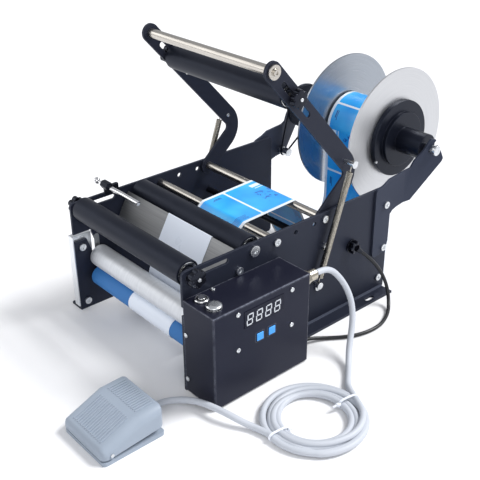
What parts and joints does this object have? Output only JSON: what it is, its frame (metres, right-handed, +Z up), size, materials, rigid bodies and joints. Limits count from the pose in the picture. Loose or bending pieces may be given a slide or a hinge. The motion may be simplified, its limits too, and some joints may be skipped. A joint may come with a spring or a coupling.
{
  "type": "bottle labelling machine",
  "caption": "bench bottle labeller with open roller frame, label reel, pressure arm, control box and foot pedal",
  "frame": {"origin": "at bench level in the middle of the footprint of machine and pedal, cords left out", "axes": "+X towards the control box, across the machine; +Y from the loading front to the reel; +Z up"},
  "size_m": [0.4145, 0.5992, 0.3343],
  "materials": {
    "black_steel": "black fine-texture powder coat",
    "chrome": "polished chrome",
    "steel": "satin steel",
    "aluminium": "brushed aluminium",
    "rubber": "matt black rubber",
    "black_plastic": "moulded black",
    "tape": "printed labels on a backing",
    "backing": "glossy backing paper",
    "blue_key": "blue key cap",
    "window": "dark display window",
    "grey_cord": "grey cable sheath",
    "black_cord": "black cable sheath",
    "pedal_paint": "light blue-grey enamel",
    "nickel": "nickel-plated brass",
    "spring_steel": "bright spring wire",
    "clear_nylon": "translucent white nylon"
  },
  "bodies": {
    "frame": {"side_plate_left": "black_steel", "side_plate_right": "black_steel", "reel_bracket_left": "black_steel", "reel_bracket_right": "black_steel", "guide_rod": "steel", "pivot_shaft": "steel", "tie_rod": "black_steel", "peel_bar": "steel", "peel_plate": "steel", "side_rail": "aluminium", "nip_tabs": "steel", "control_box": "black_steel", "display_window": "window", "cord_gland": "nickel", "power_inlet": "black_plastic", "lead_grommet": "rubber", "gear_motor": "steel", "label_sensor": "black_plastic", "sensor_plug": "black_plastic", "sensor_lead": "black_cord", "pedal_cord_start": "grey_cord", "pedal_cord_coil": "grey_cord", "pedal_cord_end": "grey_cord", "cord_ties": "clear_nylon", "frame_bolts": "steel", "label_tape": "tape", "backing_tape": "backing", "stop_clamp": "black_plastic", "spring_left": "spring_steel", "spring_right": "spring_steel", "rear_axle": "steel", "reel_axle": "steel", "brake_belt": "rubber", "button_bezels": "chrome", "pedal_base": "pedal_paint"},
    "arm": {"arm_left": "black_steel", "arm_right": "black_steel", "handle_bar": "steel", "spring_pins": "steel"},
    "top_axle": {"top_axle": "steel", "top_knobs": "black_plastic"},
    "top_roller": {"top_roller": "rubber"},
    "front_axle": {"front_axle": "steel", "front_knobs": "black_plastic"},
    "front_roller": {"front_roller": "rubber"},
    "rear_roller": {"rear_roller": "rubber"},
    "drive_roller": {"drive_roller": "rubber"},
    "nip_roller": {"nip_roller": "steel"},
    "reel": {"reel_disc_left": "aluminium", "reel_disc_right": "aluminium", "reel_hub": "black_plastic", "label_roll": "tape", "brake_drum": "black_plastic"},
    "brake_knob": {"brake_knob": "aluminium"},
    "stop_rod": {"stop_rod": "chrome"},
    "key_front": {"key_front": "blue_key"},
    "key_back": {"key_back": "blue_key"},
    "push_button": {"push_button": "chrome"},
    "dome_button": {"dome_button": "chrome"},
    "pedal_treadle": {"pedal_treadle": "pedal_paint"}
  },
  "joints": [
    {"name": "arm_lift", "type": "hinge", "parent": "frame", "child": "arm", "pos_m": [-0.0155, 0.0371, 0.1365], "axis": [1, 0, 0], "range_deg": [0, 57], "deforming": ["spring_left", "spring_right"]},
    {"name": "top_roller_slide", "type": "slide", "parent": "arm", "child": "top_axle", "axis": [0, -0.6717, 0.7408], "range_m": [-0.03, 0.019]},
    {"name": "top_roller_spin", "type": "hinge", "parent": "top_axle", "child": "top_roller", "pos_m": [-0.0155, -0.01302, 0.29091], "axis": [1, 0, 0], "continuous": true},
    {"name": "front_roller_slide", "type": "slide", "parent": "frame", "child": "front_axle", "axis": [0, 1, 0], "range_m": [-0.004, 0.043]},
    {"name": "front_roller_spin", "type": "hinge", "parent": "front_axle", "child": "front_roller", "pos_m": [-0.0155, -0.154, 0.1368], "axis": [1, 0, 0], "continuous": true},
    {"name": "rear_roller_spin", "type": "hinge", "parent": "frame", "child": "rear_roller", "pos_m": [-0.0155, -0.0707, 0.1348], "axis": [1, 0, 0], "continuous": true},
    {"name": "drive_roller_spin", "type": "hinge", "parent": "frame", "child": "drive_roller", "pos_m": [-0.0155, -0.1396, 0.0422], "axis": [1, 0, 0], "continuous": true},
    {"name": "nip_roller_spin", "type": "hinge", "parent": "frame", "child": "nip_roller", "pos_m": [-0.0155, -0.1376, 0.0692], "axis": [1, 0, 0], "continuous": true},
    {"name": "reel_spin", "type": "hinge", "parent": "frame", "child": "reel", "pos_m": [-0.0155, 0.2111, 0.1775], "axis": [1, 0, 0], "continuous": true},
    {"name": "brake_knob_turn", "type": "hinge", "parent": "frame", "child": "brake_knob", "pos_m": [-0.1165, 0.1731, 0.1195], "axis": [1, 0, 0], "continuous": true},
    {"name": "bottle_stop_slide", "type": "slide", "parent": "frame", "child": "stop_rod", "axis": [1, 0, 0], "range_m": [-0.06, 0.008]},
    {"name": "key_front_press", "type": "slide", "parent": "frame", "child": "key_front", "axis": [-1, 0, 0], "range_m": [0, 0.0012], "stiffness_N_per_m": 200, "springref_m": -0.004},
    {"name": "key_back_press", "type": "slide", "parent": "frame", "child": "key_back", "axis": [-1, 0, 0], "range_m": [0, 0.0012], "stiffness_N_per_m": 200, "springref_m": -0.004},
    {"name": "push_button_press", "type": "slide", "parent": "frame", "child": "push_button", "axis": [0, 0, -1], "range_m": [0, 0.001], "stiffness_N_per_m": 200, "springref_m": -0.004},
    {"name": "dome_button_press", "type": "slide", "parent": "frame", "child": "dome_button", "axis": [0, 0, -1], "range_m": [0, 0.0012], "stiffness_N_per_m": 200, "springref_m": -0.004},
    {"name": "pedal_press", "type": "hinge", "parent": "frame", "child": "pedal_treadle", "pos_m": [0.0964, -0.2891, 0.008], "axis": [-1, 0, 0], "range_deg": [0, 5], "stiffness_Nm_per_rad": 0.4, "springref_deg": -22.92}
  ],
  "couplings": [
    {"joint": "nip_roller_spin", "follows": "drive_roller_spin", "ratio": -0.91241}
  ]
}
